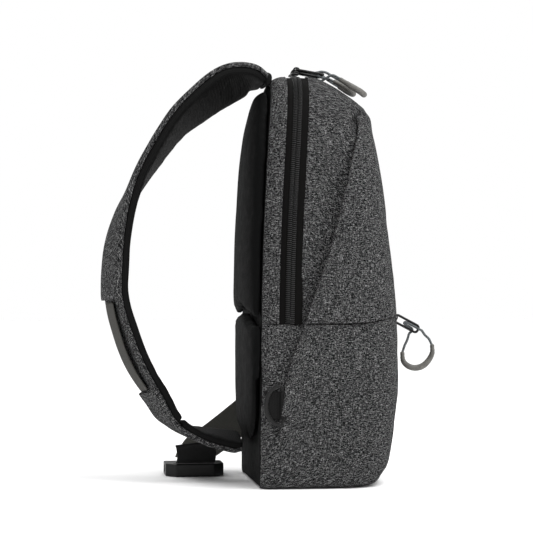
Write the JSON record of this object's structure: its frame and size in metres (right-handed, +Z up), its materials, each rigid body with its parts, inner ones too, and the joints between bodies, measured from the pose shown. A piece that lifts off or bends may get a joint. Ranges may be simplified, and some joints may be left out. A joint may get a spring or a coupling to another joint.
{
  "type": "sling bag",
  "caption": "Tall slim sling bag in grey melange cloth with a padded back, curved cross-body strap, side-release buckle, main zip over the top and a front pocket zip.",
  "frame": {"origin": "centre of the flat base, on the surface the bag stands on", "axes": "+Z up along the bag's height, +X out of its front, -X towards the wearer, +Y to the side its buckle is on"},
  "size_m": [0.3348, 0.2191, 0.412],
  "materials": {
    "melange_fabric": "grey melange woven polyester with light and dark yarn",
    "black_mesh": "fine black padded mesh over foam",
    "black_webbing": "ribbed black webbing",
    "olive_webbing": "ribbed dark olive-grey webbing",
    "elastic": "matt brown-black elastic",
    "lining": "thin woven lining",
    "board": "plain polyethylene stiffener",
    "zip_tape": "black herringbone zip tape",
    "zip_coil": "satin black nylon coil",
    "slider_metal": "black lacquered metal",
    "black_plastic": "fine-textured black moulding",
    "cord": "blue-grey braided cord with black flecks",
    "grip_rubber": "warm grey soft moulding"
  },
  "bodies": {
    "root": {"lower_shell": "melange_fabric", "rear_gusset": "melange_fabric", "flap_fold": "melange_fabric", "back_board": "board", "base_board": "board", "pocket_wall": "lining", "sleeve_pocket": "lining", "back_pad_upper": "black_mesh", "back_pad_lower": "black_mesh", "zip_tape_rear": "zip_tape", "zip_coil_rear": "zip_coil", "side_tab_near": "black_webbing", "side_tab_far": "black_webbing", "d_ring_far": "black_plastic", "strap_anchor": "black_webbing", "strap_pad": "black_mesh", "strap_face": "melange_fabric", "strap_sleeve_upper": "melange_fabric", "strap_sleeve_lower": "melange_fabric", "strap_band": "elastic", "strap_tail": "black_mesh", "strap_webbing": "black_webbing", "buckle_female": "black_plastic", "lower_webbing": "olive_webbing"},
    "flap": {"front_flap": "melange_fabric", "zip_tape_front": "zip_tape", "zip_coil_front": "zip_coil"},
    "slider_near": {"main_slider_near": "slider_metal"},
    "slider_far": {"main_slider_far": "slider_metal"},
    "slider_pocket": {"pocket_slider": "slider_metal"},
    "pull_near": {"pull_frame_near": "black_plastic", "pull_cord_near": "cord", "pull_grip_near": "grip_rubber"},
    "pull_far": {"pull_frame_far": "black_plastic", "pull_cord_far": "cord", "pull_grip_far": "grip_rubber"},
    "pull_pocket": {"pull_frame_pocket": "black_plastic", "pull_cord_pocket": "cord", "pull_grip_pocket": "grip_rubber"},
    "ring_near": {"d_ring_near": "black_plastic"},
    "buckle_plug": {"buckle_male": "black_plastic"},
    "arm_left": {"buckle_arm_left": "black_plastic"},
    "arm_right": {"buckle_arm_right": "black_plastic"}
  },
  "joints": [
    {"name": "flap_open", "type": "hinge", "parent": "root", "child": "flap", "pos_m": [-0.02875, 0, 0.157], "axis": [0, 1, 0], "range_deg": [0, 25], "deforming": ["flap_fold"]},
    {"name": "slider_near_travel", "type": "hinge", "parent": "flap", "child": "slider_near", "pos_m": [-0.013, 0, 0.32], "axis": [0.9962, 0, -0.0872], "range_deg": [0, 50]},
    {"name": "slider_far_travel", "type": "hinge", "parent": "flap", "child": "slider_far", "pos_m": [-0.013, 0, 0.32], "axis": [0.9962, 0, -0.0872], "range_deg": [-50, 0]},
    {"name": "pull_near_lift", "type": "hinge", "parent": "slider_near", "child": "pull_near", "pos_m": [-0.01093, -0.00673, 0.40681], "axis": [0, -1, 0], "range_deg": [0, 110]},
    {"name": "pull_far_lift", "type": "hinge", "parent": "slider_far", "child": "pull_far", "pos_m": [-0.01095, 0.00847, 0.40583], "axis": [0, -1, 0], "range_deg": [0, 110]},
    {"name": "pocket_slider_travel", "type": "slide", "parent": "root", "child": "slider_pocket", "axis": [0, 1, 0], "range_m": [-0.045, 0.045]},
    {"name": "pull_pocket_swing", "type": "hinge", "parent": "slider_pocket", "child": "pull_pocket", "pos_m": [0.08917, 0, 0.16108], "axis": [0, 0, 1], "range_deg": [-70, 70]},
    {"name": "ring_near_swing", "type": "hinge", "parent": "root", "child": "ring_near", "pos_m": [-0.0365, -0.0983, 0.0805], "axis": [0, 0, 1], "range_deg": [0, 95]},
    {"name": "buckle_release", "type": "slide", "parent": "root", "child": "buckle_plug", "axis": [0, 1, 0], "range_m": [0, 0.03], "deforming": ["lower_webbing"]},
    {"name": "arm_left_press", "type": "hinge", "parent": "buckle_plug", "child": "arm_left", "pos_m": [-0.1272, 0.0782, 0.0065], "axis": [0, 0, 1], "range_deg": [0, 6], "stiffness_Nm_per_rad": 0.05},
    {"name": "arm_right_press", "type": "hinge", "parent": "buckle_plug", "child": "arm_right", "pos_m": [-0.0878, 0.0782, 0.0065], "axis": [0, 0, 1], "range_deg": [-6, 0], "stiffness_Nm_per_rad": 0.05}
  ],
  "couplings": [
    {"joint": "arm_right_press", "follows": "arm_left_press", "ratio": -1}
  ]
}
